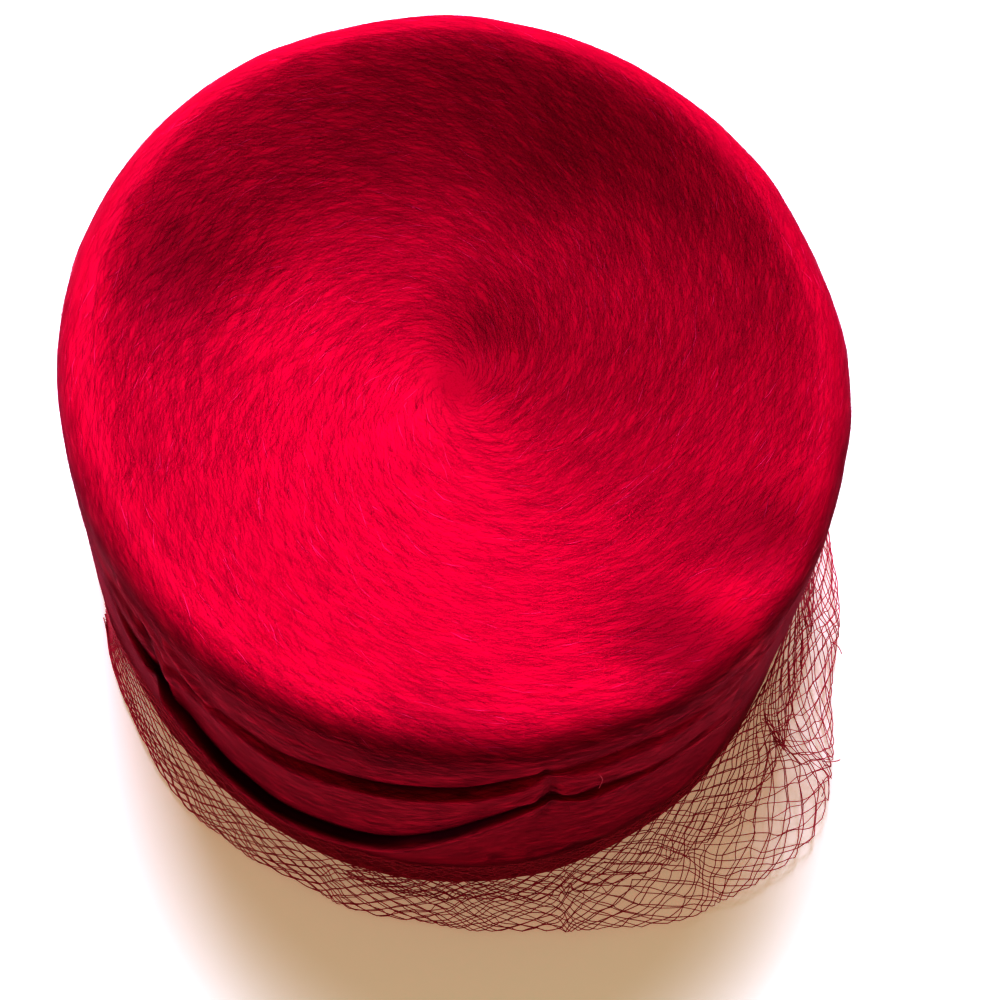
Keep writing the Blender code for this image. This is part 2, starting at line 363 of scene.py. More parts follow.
# Dents in the tip, and rises where the depth is below 0: share of the way out, depth as a share of
# DISH_DEPTH, and radius as a share of SHOULDER_WIDTH
Dent = namedtuple("Dent", "azimuth share depth radius")
DENTS = (
    Dent(150, 0.70, 0.42, 0.107),
    Dent(115, 0.60, 0.10, 0.098),
    Dent(44, 0.66, 0.08, 0.086),
    Dent(-72, 0.53, 0.07, 0.097),
    Dent(69, 0.31, -0.11, 0.088),
    Dent(-104, 0.81, -0.08, 0.088),
    Dent(-34, 0.82, -0.10, 0.100),
    Dent(60, 0.09, 0.06, 0.075),
    Dent(-2, 0.62, -0.12, 0.100),
)

# Dips in the rim of the tip: share of the way out, depth and radius
Dip = namedtuple("Dip", "azimuth share depth radius")
DIPS = (
    Dip(-45, 1.00, 0.0034, 0.0110),
    Dip(-70, 0.98, 0.0022, 0.0115),
)

# Spots of painted shade on the tip and just below its shoulder: share of the way out, darkness from 0 to 1,
# and radius
ShadeSpot = namedtuple("ShadeSpot", "azimuth share darkness radius")
SHADE_SPOTS = (
    ShadeSpot(-45, 0.95, 0.36, 0.0100),
    ShadeSpot(-70, 0.92, 0.26, 0.0100),
    ShadeSpot(145, 0.90, 0.24, 0.0160),
    ShadeSpot(-42, 0.68, 0.13, 0.0220),
    ShadeSpot(50, 0.02, 0.28, 0.0110),
    ShadeSpot(-65, 0.82, 0.15, 0.0120),
    ShadeSpot(-67, 1.03, 0.28, 0.0110),
    ShadeSpot(-106, 1.05, 0.28, 0.0120),
    ShadeSpot(-165, 1.06, 0.20, 0.0140),
)

# Wrinkles of the wall: how far they stand out, half their width, and their route as azimuths and shares of
# SHOULDER_HEIGHT
Wrinkle = namedtuple("Wrinkle", "relief width route")
WRINKLES = (
    Wrinkle(-0.0006, 0.0013, ((-92.4, 0.95), (-91.5, 0.86), (-90.4, 0.73), (-90.9, 0.68), (-92.8, 0.60))),
    Wrinkle(0.0009, 0.0020, ((-89.6, 0.76), (-86.8, 0.72), (-83.2, 0.68), (-79.8, 0.63))),
    Wrinkle(-0.0005, 0.0018, ((-90.8, 0.69), (-83.0, 0.62), (-76.5, 0.60), (-69.8, 0.62), (-62.2, 0.66))),
    Wrinkle(0.0008, 0.0024, ((-75.0, 0.92), (-69.0, 0.91), (-62.8, 0.93), (-56.5, 0.95))),
    Wrinkle(-0.0006, 0.0016, ((-74.0, 0.85), (-67.0, 0.83), (-60.5, 0.86))),
    Wrinkle(-0.0008, 0.0014, ((-59.0, 0.66), (-58.2, 0.75), (-58.5, 0.90))),
    Wrinkle(0.0008, 0.0018, ((-134.0, 0.91), (-129.0, 0.90), (-124.5, 0.88))),
    Wrinkle(0.0011, 0.0018, ((-148.5, 0.96), (-146.2, 0.92), (-143.8, 0.84), (-141.5, 0.78))),
    Wrinkle(0.0008, 0.0017, ((-159.0, 0.97), (-154.0, 0.96), (-149.6, 0.88), (-147.8, 0.52))),
    Wrinkle(-0.0010, 0.0018, ((-161.5, 0.90), (-156.0, 0.86), (-151.6, 0.74), (-150.2, 0.55))),
    Wrinkle(0.0008, 0.0016, ((-100.2, 0.74), (-97.2, 0.77), (-93.5, 0.74))),
    Wrinkle(-0.0007, 0.0014, ((-92.2, 0.24), (-89.0, 0.24), (-84.5, 0.19), (-79.8, 0.12))),
    Wrinkle(-0.0006, 0.0012, ((-98.0, 0.25), (-94.2, 0.23))),
)

RED = (0.62, 0.0, 0.051, 1.0)
DEEP_RED = (0.46, 0.0, 0.018, 1.0)
# Pinkish red painted on a few hairs as glints, a painted highlight
PAINTED_GLINT_RED = (1.0, 0.05, 0.24, 1.0)
# Nearly black red, painted as shade into pockets, creases and shade spots
PAINTED_SHADE_RED = (0.03, 0.0, 0.001, 1.0)
THREAD_RED = (0.74, 0.03, 0.10, 1.0)
THREAD_SHADE = (0.45, 0.012, 0.05, 1.0)

# Stops of the colour ramps
FELT_STOPS = ((0.20, DEEP_RED), (0.50, RED))
# The nap's ramp ends in the painted glint colour
NAP_STOPS = ((0.10, DEEP_RED), (0.50, RED), (0.90, RED), (1.00, PAINTED_GLINT_RED))
THREAD_STOPS = ((0.35, THREAD_SHADE), (0.65, THREAD_RED))

# Scales of the streaks in the felt, along its stored grain, and of the twist in the thread
FELT_GRAIN = (9.0, 9.0, 2600.0)
THREAD_GRAIN = (4000.0, 4000.0, 4000.0)

# Socket values of the shaders and other nodes. The fur has a soft red sheen without a white highlight.
FIBRE_LOOK = {
    "Roughness": 0.62,
    "Specular IOR Level": 0.10,
    "Specular Tint": (1.0, 0.03, 0.28, 1.0),
    "Sheen Weight": 0.30,
    "Sheen Roughness": 0.45,
    "Sheen Tint": (1.0, 0.02, 0.20, 1.0),
}
THREAD_LOOK = {
    "Base Color": THREAD_RED,
    "Roughness": 0.55,
    "Specular Tint": (1.0, 0.3, 0.35, 1.0),
}
FLOOR_LOOK = {
    "Base Color": (0.88, 0.88, 0.88, 1.0),
    "Roughness": 0.9,
    "Specular IOR Level": 0.1,
    "Emission Color": (1.0, 0.82, 0.55, 1.0),
    "Emission Strength": 0.36,
}
FELT_BUMP = {"Strength": 0.4, "Distance": 0.00004}
ROOM_LIGHT = {"Color": (1.0, 0.82, 0.56, 1.0), "Strength": 0.36}
FLOOR_SIZE = 6.0
VIEW_GAMMA = 0.66


def mix(first, second, share):
    return first + (second - first) * share


def slope(table, column, index):
    """Slope of a column at a row: zero at the ends and where the column turns, so it never overshoots."""
    if index in (0, len(table) - 1):
        return 0.0
    before, here, after = table[index - 1 : index + 2]
    value = getattr(here, column)
    left = (value - getattr(before, column)) / (here.azimuth - before.azimuth)
    right = (getattr(after, column) - value) / (after.azimuth - here.azimuth)
    if left * right <= 0.0:
        return 0.0
    return 2.0 * left * right / (left + right)


def read_table(table, column, azimuth):
    """Smooth value of a table's column at an azimuth in degrees."""
    if azimuth <= table[0].azimuth:
        return getattr(table[0], column)
    if azimuth >= table[-1].azimuth:
        return getattr(table[-1], column)
    index = max(i for i, row in enumerate(table) if row.azimuth <= azimuth)
    index = min(index, len(table) - 2)
    start, end = table[index], table[index + 1]
    width = end.azimuth - start.azimuth
    t = (azimuth - start.azimuth) / width
    ease = t * t * (3.0 - 2.0 * t)
    return (
        mix(getattr(start, column), getattr(end, column), ease)
        + slope(table, column, index) * width * t * (1.0 - t) ** 2
        - slope(table, column, index + 1) * width * t * t * (1.0 - t)
    )


def smooth_line(points, steps):
    """Catmull-Rom curve through the points, with the given number of steps between two of them."""
    line = []
    for i in range(len(points) - 1):
        before = np.array(points[max(i - 1, 0)])
        start, end = np.array(points[i]), np.array(points[i + 1])
        after = np.array(points[min(i + 2, len(points) - 1)])
        t = (np.arange(steps) / steps)[:, None]
        line.append(
            0.5
            * (
                2.0 * start
                + (end - before) * t
                + (2.0 * before - 5.0 * start + 4.0 * end - after) * t**2
                + (3.0 * start - before - 3.0 * end + after) * t**3
            )
        )
    return np.concatenate(line + [np.array([points[-1]])])


def oval_point(azimuth, half_width, half_length, height):
    """A point at an azimuth of an oval round the hat's middle."""
    angle = np.radians(azimuth)
    return np.stack([half_width * np.cos(angle), half_length * np.sin(angle), height], -1)


def wall_point(azimuth, height, offset):
    """A point of the wall, offset outwards from the ruled surface between base and shoulder."""
    share = height / SHOULDER_HEIGHT
    half_width = mix(HEAD_WIDTH / 2 + FELT, SHOULDER_WIDTH / 2, share) + offset
    half_length = mix(HEAD_LENGTH / 2 + FELT, SHOULDER_LENGTH / 2, share) + offset
    return oval_point(azimuth, half_width, half_length, height + 0.0 * offset)


def tip_point(azimuth, inset, height, share=1.0):
    """A point of the tip, inset from the shoulder's widest ring, or a share of the way out to it."""
    half_width = (SHOULDER_WIDTH / 2 - inset) * share
    half_length = (SHOULDER_LENGTH / 2 - inset) * share
    return oval_point(azimuth, half_width, half_length, height + 0.0 * share)


def drape(azimuth):
    """How far the upper and the lower tuck are folded out, and the heights of their pockets."""
    upper_fold = read_table(DRAPES, "upper_fold", azimuth)
    lower_fold = read_table(DRAPES, "lower_fold", azimuth)
    upper = read_table(DRAPES, "upper_height", azimuth) * SHOULDER_HEIGHT
    lower = read_table(DRAPES, "lower_height", azimuth) * SHOULDER_HEIGHT
    return upper_fold, lower_fold, upper, lower


def edge_height(pocket, fold, rise):
    """Height of a tuck's folded edge: above its pocket when folded, a little below it when flat."""
    return pocket + rise * fold - EDGE_ROUND * (1.0 - fold)


def tack_depth(azimuth):
    """Depth of the tack's crease at an azimuth."""
    return TACK_DEPTH * max(0.0, 1.0 - abs(azimuth - TACK_AZIMUTH) / TACK_SPREAD) ** 2


def outer_wall(azimuth):
    """Heights, offsets and painted shade down the outside of the wall, from shoulder to lower rim."""
    upper_fold, lower_fold, upper, lower = drape(azimuth)
    upper_edge = edge_height(upper, upper_fold, UPPER_EDGE_RISE)
    lower_edge = edge_height(lower, lower_fold, LOWER_EDGE_RISE)
    under_edge = max(lower_edge - 2.0 * EDGE_ROUND, BAND_TOP + EDGE_ROUND / 2)
    upper_stand = UPPER_STAND * upper_fold
    lower_stand = LOWER_STAND * lower_fold
    upper_inset = UPPER_SLACK * POCKET_INSET * upper_fold
    tack = tack_depth(azimuth)
    upper_gloom = read_table(GLOOMS, "upper", azimuth)
    lower_gloom = read_table(GLOOMS, "lower", azimuth)
    upper_edge -= SOFT_DROP * upper_fold * (1.0 - upper_gloom)
    under_roll = -UNDER_ROLL_INSET * POCKET_INSET * upper_fold
    ledge = mix(-upper_inset, upper_stand, LEDGE_WAY)
    # The third column is the shade painted into the pockets and the rows beside them
    rows = [
        (SHOULDER_HEIGHT, 0.0, 0.0),
        (mix(SHOULDER_HEIGHT, upper, UNDER_ROLL_WAY), under_roll, 0.0),
        (upper + SLIT_HEIGHT, -SLIT_LIP * upper_inset, 0.0),
        (upper, -upper_inset - POCKET_SLIT * upper_gloom, upper_gloom),
        (mix(upper, upper_edge, LEDGE_WAY), ledge, LEDGE_SHADE * upper_gloom),
        (upper_edge, upper_stand - tack, 0.0),
        (upper_edge - EDGE_ROUND, upper_stand - tack, 0.0),
        (mix(upper_edge, lower, FACE_WAY), FACE_STAND * upper_stand - tack, 0.0),
        (mix(upper_edge, lower, LIP_WAY), LIP_STAND * upper_stand - tack, LIP_SHADE * lower_gloom),
        (lower, -POCKET_INSET * lower_fold - POCKET_SLIT * lower_gloom, lower_gloom),
        (lower_edge, LOWER_BACK_STAND * lower_stand, LOWER_BACK_SHADE * lower_gloom),
        (lower_edge - EDGE_DROP * EDGE_ROUND, lower_stand, 0.0),
        (under_edge, UNDER_EDGE_STAND * lower_stand, 0.0),
        (BAND_TOP, 0.0, 0.0),
        (BAND_TOP / 2, 0.0, 0.0),
        (0.0, 0.0, 0.0),
    ]
    return smooth_line(rows, STEPS_PER_ROW)


def inner_wall(azimuth):
    """Heights and offsets up the inside of the wall, from the lower rim to the shoulder."""
    upper_fold, lower_fold, upper, lower = drape(azimuth)
    return np.array(
        [
            (0.0, -FELT),
            (BAND_TOP / 2, -FELT),
            (lower, -FELT - POCKET_INSET * lower_fold),
            (mix(lower, upper, 0.5), -FELT),
            (upper, -FELT - POCKET_INSET * upper_fold),
            (SHOULDER_HEIGHT, -FELT),
        ]
    )


def dent_depth(azimuth, share):
    """How deep the dents are at points of the tip. They fade out towards its rim."""
    place = tip_point(azimuth, ROLL_REACH, 0.0, share)
    depth = 0.0 * share
    for dent in DENTS:
        middle = tip_point(dent.azimuth, ROLL_REACH, 0.0, dent.share)
        away = np.linalg.norm(place - middle, axis=-1) / (dent.radius * SHOULDER_WIDTH)
        depth = depth + dent.depth * DISH_DEPTH * np.exp(-away * away)
    return depth * (1.0 - share**DENT_FADE)


def dish_height(azimuth, share):
    """Height of the tip's outer face, at a share of the way from its centre to its rim."""
    dish = DISH_DEPTH * (1.0 - share**DISH_FLATNESS) ** DISH_FULLNESS
    return SHOULDER_HEIGHT + ROLL_RISE - dish - dent_depth(azimuth, share)


def tip_section(azimuth, wall, dish_rows, roll_rows):
    """Points of the tip from near its centre out to the shoulder, set in by a wall."""
    share = np.arange(1, dish_rows) / dish_rows
    dish = tip_point(azimuth, ROLL_REACH, dish_height(azimuth, share) - wall, share)
    turn = pi / 2 * (1.0 - np.arange(roll_rows) / roll_rows)
    inset = wall + (ROLL_REACH - wall) * (1.0 - np.cos(turn))
    roll = tip_point(azimuth, inset, SHOULDER_HEIGHT + (ROLL_RISE - wall) * np.sin(turn))
    return np.concatenate([dish, roll])


def crown_azimuths():
    """Azimuths of the mesh's columns, closer together where the felt is folded."""
    folds = FOLDS_TO - FOLDS_FROM
    inside = FOLDS_FROM + folds * np.arange(COLUMNS_IN_FOLDS) / COLUMNS_IN_FOLDS
    outside = FOLDS_TO + (360.0 - folds) * np.arange(COLUMNS_OUTSIDE) / COLUMNS_OUTSIDE
    return np.concatenate([inside, outside])


def table_azimuth(azimuth):
    """The same azimuth in the range that the tables cover."""
    return azimuth if azimuth < DRAPES[-1].azimuth else azimuth - 360.0


def unit(vectors):
    return vectors / np.maximum(np.linalg.norm(vectors, axis=-1, keepdims=True), 1e-12)


def soft_noise(points, size, seed):
    """Smooth noise from -1 to 1 at each point, with lumps of the given size."""
    shift = Vector([part * seed for part in NOISE_SHIFT])
    flat = points.reshape(-1, 3) / size
    values = [noise.noise(Vector(point) + shift) for point in flat.tolist()]
    return np.array(values).reshape(points.shape[:-1])


def wrinkle_relief(azimuth, height):
    """How far the wrinkles stand out of the wall at each point, and the shade painted into them."""
    radius = (HEAD_WIDTH + HEAD_LENGTH) / 4 + FELT
    place = np.stack([np.radians(azimuth) * radius + 0.0 * height, height], -1)
    relief, shade = 0.0 * height, 0.0 * height
    for wrinkle in WRINKLES:
        route = [(radians(turn) * radius, share * SHOULDER_HEIGHT) for turn, share in wrinkle.route]
        route = np.array(route)
        nearest = np.full(height.shape, np.inf)
        for start, end in zip(route, route[1:]):
            way = end - start
            share = np.clip((place - start) @ way / (way @ way), 0.0, 1.0)
            away = np.linalg.norm(place - start - share[..., None] * way, axis=-1)
            nearest = np.minimum(nearest, away)
        form = np.exp(-((nearest / wrinkle.width) ** 2))
        relief = relief + wrinkle.relief * form
        shade = shade + max(0.0, -wrinkle.relief) * CREASE_SHADE * form
    return relief, shade


def uneven(points):
    """Moves the felt in and out a little, as a hand-blocked body is never quite even."""
    away = unit(points - np.array((0.0, 0.0, SHOULDER_HEIGHT / 2)))
    coarse = UNEVEN * soft_noise(points, UNEVEN_SIZE, seed=1)
    fine = UNEVEN_FINE * soft_noise(points, UNEVEN_FINE_SIZE, seed=2)
    points = points + away * (coarse + fine)[..., None]
    points[..., 2] = np.maximum(points[..., 2], 0.0)
    return points


def settle(points):
    """Lowers the rim of the tip where the felt has sagged at the back and where it has dips."""
    back = np.maximum(0.0, points[..., 1] / (SHOULDER_LENGTH / 2)) ** SAG_TO_BACK
    high = (points[..., 2] / cad_high.z) ** SAG_TO_TOP
    points[..., 2] -= BACK_SAG * (back * high)
    on_roll = np.clip((points[..., 2] - SHOULDER_HEIGHT) / ROLL_RISE, 0.0, 1.0)
    for dip in DIPS:
        middle = tip_point(dip.azimuth, ROLL_REACH, 0.0, dip.share)
        away = np.linalg.norm((points - middle)[..., :2], axis=-1) / dip.radius
        points[..., 2] -= dip.depth * np.exp(-away * away) * on_roll
    return points


def spot_shade(points):
    """How much painted shade the spots put at each point, seen from above."""
    shade = 0.0 * points[..., 0]
    for shade_spot in SHADE_SPOTS:
        middle = tip_point(shade_spot.azimuth, ROLL_REACH, 0.0, shade_spot.share)
        away = np.linalg.norm((points - middle)[..., :2], axis=-1) / shade_spot.radius
        shade = shade + shade_spot.darkness * np.exp(-away * away)
    return shade


def felt_grid():
    """Outer face of the felt, a column of points from the tip's centre to the lower rim at each azimuth."""
    azimuths = crown_azimuths()
    around = np.array([table_azimuth(azimuth) for azimuth in azimuths])[:, None]
    walls = np.stack([outer_wall(azimuth) for azimuth in around[:, 0]])
    height, offset, shade = np.moveaxis(walls, -1, 0)
    relief, crease = wrinkle_relief(around, height)
    tip = np.stack([tip_section(azimuth, 0.0, DISH_ROWS, ROLL_ROWS) for azimuth in azimuths])
    wall = wall_point(azimuths[:, None], height, offset + relief)
    points = settle(uneven(np.concatenate([tip, wall], axis=1)))
    # Shade painted into the pockets and creases
    shade = np.clip(shade, 0.0, 1.0) ** GLOOM_EDGE + crease
    # Shade painted over the wall, setting in below the shoulder
    shade = shade + PAINTED_WALL_SHADE * np.clip((SHOULDER_HEIGHT - height) / PAINTED_WALL_SHADE_FADE, 0.0, 1.0)
    shade = np.concatenate([np.zeros(tip.shape[:2]), shade], axis=1)
    # Shade painted in spots on the tip, fading below the shoulder
    below = np.concatenate([np.zeros(tip.shape[:2]), SHOULDER_HEIGHT - height], axis=1)
    painted_spots = spot_shade(points) * np.clip(1.0 - below / SPOT_FADE, 0.0, 1.0)
    return points, np.clip(shade + painted_spots, 0.0, 1.0)


def inner_grid():
    """Inner face of the felt, from the lower rim up to the tip's centre."""
    columns = []
    for azimuth in crown_azimuths():
        wall = inner_wall(table_azimuth(azimuth))
        tip = tip_section(azimuth, FELT, UNDER_ROWS, UNDER_ROWS // 2)
        columns.append(np.concatenate([wall_point(azimuth, wall[:, 0], wall[:, 1]), tip[::-1]]))
    return settle(np.stack(columns))


class Surface:
    """The felt's outer face as a grid, with its normals and the nap's direction at each point."""

    def __init__(self, points, shade):
        self.points = points
        self.shade = shade
        ahead = np.roll(points, -1, 0) - np.roll(points, 1, 0)
        down = np.gradient(points, axis=1)
        self.round_step = np.linalg.norm(ahead, axis=-1) / 2.0
        self.down_step = np.linalg.norm(down, axis=-1)
        self.round = unit(ahead)
        self.normal = unit(np.cross(down, ahead))
        self.down = unit(down - self.round * np.sum(down * self.round, -1, keepdims=True))
        self.length = np.cumsum(self.down_step, axis=1)
        rows = np.arange(points.shape[1])
        places = [0, SWIRL_EARLY_ROWS * DISH_ROWS, DISH_ROWS, DISH_ROWS + ROLL_ROWS, len(rows)]
        early = mix(SWIRL_MIDDLE, SWIRL_RIM, SWIRL_EARLY_TURN)
        turns = [SWIRL_MIDDLE, early, SWIRL_RIM, SWIRL_WALL, SWIRL_WALL]
        self.swirl = np.radians(np.interp(rows, places, turns))

    def lean(self):
        """Normals tilted back against the nap, as fibres that lie over each other are."""
        rows = np.arange(self.points.shape[1])
        rim, faded = LEAN_RIM * DISH_ROWS, DISH_ROWS + LEAN_FADED * ROLL_ROWS
        steady = np.interp(rows, [0, LEAN_STEADY * DISH_ROWS, rim, faded], [0.0, 1.0, 1.0, ROLL_LEAN])
        steady = steady[None, :, None]
        turn = np.interp(rows, [0, LEAN_TURNED * DISH_ROWS], [LEAN_TURN_MIDDLE, LEAN_TURN])
        turn = np.radians(turn)[None, :, None]
        nap = steady * (np.cos(turn) * self.round + np.sin(turn) * self.down)
        whorl = np.where(rows < rim, 1.0, 0.0)[None, :, None] * (1.0 - steady) * np.array(WHORL_WAY)
        return unit(self.normal - LEAN * (nap + whorl))

    def read(self, values, column, row):
        """Values of a grid between its points."""
        first = np.floor(column).astype(int)
        top = np.clip(np.floor(row).astype(int), 0, self.points.shape[1] - 2)
        across = (column - first).reshape(column.shape + (1,) * (values.ndim - 2))
        along = np.clip(row - top, 0.0, 1.0).reshape(across.shape)
        left, right = first % len(values), (first + 1) % len(values)
        upper = mix(values[left, top], values[right, top], across)
        lower = mix(values[left, top + 1], values[right, top + 1], across)
        return mix(upper, lower, along)


def new_piece(name, points, faces, material):
    """A smooth mesh from an array of points and arrays of faces with three or more corners."""
    mesh = bpy.data.meshes.new(name)
    mesh.vertices.add(len(points))
    mesh.vertices.foreach_set("co", np.asarray(points, np.float32).ravel())
    corners = np.concatenate([face.ravel() for face in faces])
    sizes = np.concatenate([np.full(len(face), face.shape[1]) for face in faces])
    mesh.loops.add(len(corners))
    mesh.loops.foreach_set("vertex_index", corners.astype(np.int32))
    mesh.polygons.add(len(sizes))
    mesh.polygons.foreach_set("loop_start", (np.cumsum(sizes) - sizes).astype(np.int32))
    mesh.update(calc_edges=True)
    mesh.validate()
    mesh.shade_smooth()
    mesh.materials.append(material)
    piece = bpy.data.objects.new(name, mesh)
    bpy.context.scene.collection.objects.link(piece)
    return piece


def add_attribute(piece, name, values):
    """Stores one number or one vector for each point of a piece."""
    values = np.asarray(values, np.float32)
    kind, field = ("FLOAT", "value") if values.ndim == 1 else ("FLOAT_VECTOR", "vector")
    attribute = piece.data.attributes.new(name, kind, "POINT")
    attribute.data.foreach_set(field, values.ravel())


def grid_faces(columns, rows):
    """Quads between neighbouring columns of a closed grid, facing out."""
    column, row = np.meshgrid(np.arange(columns), np.arange(rows - 1), indexing="ij")
    here, beside = column * rows + row, (column + 1) % columns * rows + row
    return np.stack([here, here + 1, beside + 1, beside], -1).reshape(-1, 4)


def make_felt(surface, material):
    """The felt as one closed shell, with its nap's lean, its grain and its painted shade stored on it."""
    inner = inner_grid()
    points = np.concatenate([surface.points, inner], axis=1)
    columns, rows = points.shape[:2]
    faces = grid_faces(columns, rows)
    first = np.arange(columns) * rows
    second = (np.arange(columns) + 1) % columns * rows
    top, under = columns * rows, columns * rows + 1
    caps = [np.stack([np.full(columns, top), first, second], -1)]
    caps.append(np.stack([np.full(columns, under), second + rows - 1, first + rows - 1], -1))
    middle = np.array([points[:, 0].mean(0), points[:, -1].mean(0)])
    flat = np.concatenate([points.reshape(-1, 3), middle])
    piece = new_piece("crown_felt", flat, [faces, *caps], material)
    lean = surface.lean()
    centre = unit(lean[:, 0].mean(0))
    lean = np.concatenate([lean, -unit(inner * (1.0, 1.0, 0.0))], axis=1).reshape(-1, 3)
    add_attribute(piece, "lean", np.concatenate([lean, [centre, (0.0, 0.0, -1.0)]]))
    down = np.concatenate([surface.length, np.tile(surface.length[:, -1:], (1, inner.shape[1]))], axis=1)
    angle = np.radians(crown_azimuths())[:, None] + 0.0 * down
    grain = np.stack([np.cos(angle), np.sin(angle), down], -1).reshape(-1, 3)
    add_attribute(piece, "grain", np.concatenate([grain, [(0.0, 0.0, 0.0), (0.0, 0.0, 0.0)]]))
    # Painted shade of the outer face; the inner face has none
    shade = np.concatenate([surface.shade, np.zeros(inner.shape[:2])], axis=1).ravel()
    add_attribute(piece, "shade", np.concatenate([shade, [surface.shade[:, 0].mean(), 0.0]]))
    return piece


def hair_roots(surface, count, random):
    """Places of the hairs' roots, as fractions of columns and rows. They are fewer in the folds."""
    area = surface.round_step * surface.down_step * (1.0 - surface.shade) ** 2
    area[:, -BARE_ROWS:] = 0.0
    area[:, 0] *= 0.5
    chance = (area / area.sum()).ravel()
    cell = random.choice(len(chance), count, p=chance)
    column, row = np.divmod(cell, area.shape[1])
    return column + random.random(count), row + random.random(count) - 0.5


def hair_piece(name, surface, seed, material):
    """Hairs that lie along the nap: each is three-sided, bent at its middle and pointed at both ends."""
    random = np.random.default_rng(seed)
    column, row = hair_roots(surface, HAIRS_A_PIECE, random)
    count = len(column)
    on_wall = row > DISH_ROWS + ROLL_ROWS
    length = HAIR_LENGTH * random.uniform(*HAIR_LENGTHS, count) * np.where(on_wall, WALL_HAIR, 1.0)
    length = np.minimum(length, MIDDLE_HAIR + MIDDLE_HAIR_GROWTH * surface.read(surface.length, column, row))
    swirl = np.interp(row, np.arange(len(surface.swirl)), surface.swirl)
    swirl = swirl + np.radians(SWIRL_SPREAD) * random.standard_normal(count)
    curl = np.radians(HAIR_CURL) * random.standard_normal(count)
    lift = HAIR_LIFT * np.exp(HAIR_LIFT_SPREAD * random.standard_normal(count))
    thick = HAIR_RADIUS * random.uniform(*HAIR_RADII, count)
    lean_grid = surface.lean()
    places, leans, normals, shades = [], [], [], []
    for number, height in enumerate(POINT_LIFTS):
        if number:
            turn = swirl + curl * (number - 1.5)
            step = np.maximum(surface.read(surface.round_step, column, row), SMALLEST_STEP)
            column = column + length / 2 * np.cos(turn) / step
            step = np.maximum(surface.read(surface.down_step, column, row), SMALLEST_STEP)
            row = row + length / 2 * np.sin(turn) / step
            row = np.clip(row, 0.0, surface.points.shape[1] - ROWS_SHORT)
        normal = unit(surface.read(surface.normal, column, row))
        places.append(surface.read(surface.points, column, row) + normal * (lift * height)[:, None])
        leans.append(unit(surface.read(lean_grid, column, row)))
        normals.append(normal)
        shades.append(surface.read(surface.shade, column, row))
    side = unit(np.cross(unit(places[2] - places[0]), normals[1]))
    points, lean = [places[0]], [leans[0]]
    for turn in HAIR_CORNERS:
        out = side * cos(radians(turn)) + normals[1] * (HAIR_FLATNESS * sin(radians(turn)))
        points.append(places[1] + out * thick[:, None])
        lean.append(leans[1])
    points.append(places[2])
    lean.append(leans[2])
    flat = np.stack(points, 1).reshape(-1, 3)
    pattern = np.array([(0, 2, 1), (0, 3, 2), (0, 1, 3), (4, 1, 2), (4, 2, 3), (4, 3, 1)])
    faces = (np.arange(count)[:, None, None] * len(points) + pattern).reshape(-1, 3)
    piece = new_piece(name, flat, [faces], material)
    add_attribute(piece, "lean", np.stack(lean, 1).reshape(-1, 3))
    clumps = soft_noise(places[1], CLUMP_SIZE, seed=3)
    tone = 0.5 + CLUMP_TONE * clumps + HAIR_TONE * random.standard_normal(count)
    # A few hairs take the painted highlight colour
    tone[random.random(count) < PAINTED_GLINT_SHARE] = 1.0
    add_attribute(piece, "tone", np.repeat(np.clip(tone, 0.0, 1.0), len(points)))
    # Each hair takes the painted shade of the felt under it
    add_attribute(piece, "shade", np.repeat(np.clip(np.max(shades, axis=0), 0.0, 1.0), len(points)))
    return piece


def tube(path, radius, sides):
    """Points and faces of a closed tube along a path, its section carried along without twisting."""
    path = np.asarray(path)
    along = unit(np.gradient(path, axis=0))
    side = np.cross(along[0], (0.0, 0.0, 1.0))
    if np.linalg.norm(side) < 0.1:
        side = np.cross(along[0], (1.0, 0.0, 0.0))
    rings = []
    angles = 2.0 * pi * np.arange(sides) / sides
    for point, direction in zip(path, along):
        side = side - direction * (side @ direction)
        side = side / np.linalg.norm(side)
        other = np.cross(direction, side)
        rings.append(point + radius * (np.cos(angles)[:, None] * side + np.sin(angles)[:, None] * other))
    count = len(path)
    ring, corner = np.meshgrid(np.arange(count - 1), np.arange(sides), indexing="ij")
    here, beside = ring * sides + corner, ring * sides + (corner + 1) % sides
    walls = np.stack([here, beside, beside + sides, here + sides], -1).reshape(-1, 4)
    caps = np.array([np.arange(sides)[::-1], np.arange(sides) + (count - 1) * sides])
    return np.concatenate(rings), walls, caps


def knot(point, radius):
    """Points and faces of a small eight-sided bead."""
    ways = np.concatenate([np.eye(3), -np.eye(3)])
    faces = [(a, b, c) for a in (0, 3) for b in (1, 4) for c in (2, 5)]
    faces = [face if sum(i > 2 for i in face) % 2 == 0 else face[::-1] for face in faces]
    return point + radius * ways, np.array(faces)


def net_surface(azimuth, share):
    """A point of the veil, 0 at its sewn edge on the band and 1 at its outer edge."""
    top = read_table(FLARES, "top", azimuth)
    start = NET_CLEARANCE + NET_STAND * (top - 1.0)
    reach = NET_CLEARANCE + read_table(FLARES, "reach", azimuth) * NET_REACH
    bend = mix(NET_CLEARANCE, reach, NET_BEND)
    stay = (1.0 - share) ** 2
    turn = 2.0 * share * (1.0 - share)
    offset = stay * start + turn * bend + share * share * reach
    height = stay * NET_TOP * top + (1.0 - stay) * NET_FOOT
    return wall_point(azimuth, height, offset)


def pleats(azimuth):
    """How far the pleats draw a point of the net sideways, and how high they lift it."""
    shift, rise = 0.0, 0.0
    for pleat in PLEATS:
        away = azimuth - pleat.azimuth
        form = exp(-((away / pleat.width) ** 2))
        shift -= pleat.pull * away * form
        rise += pleat.rise * form
    return shift, rise


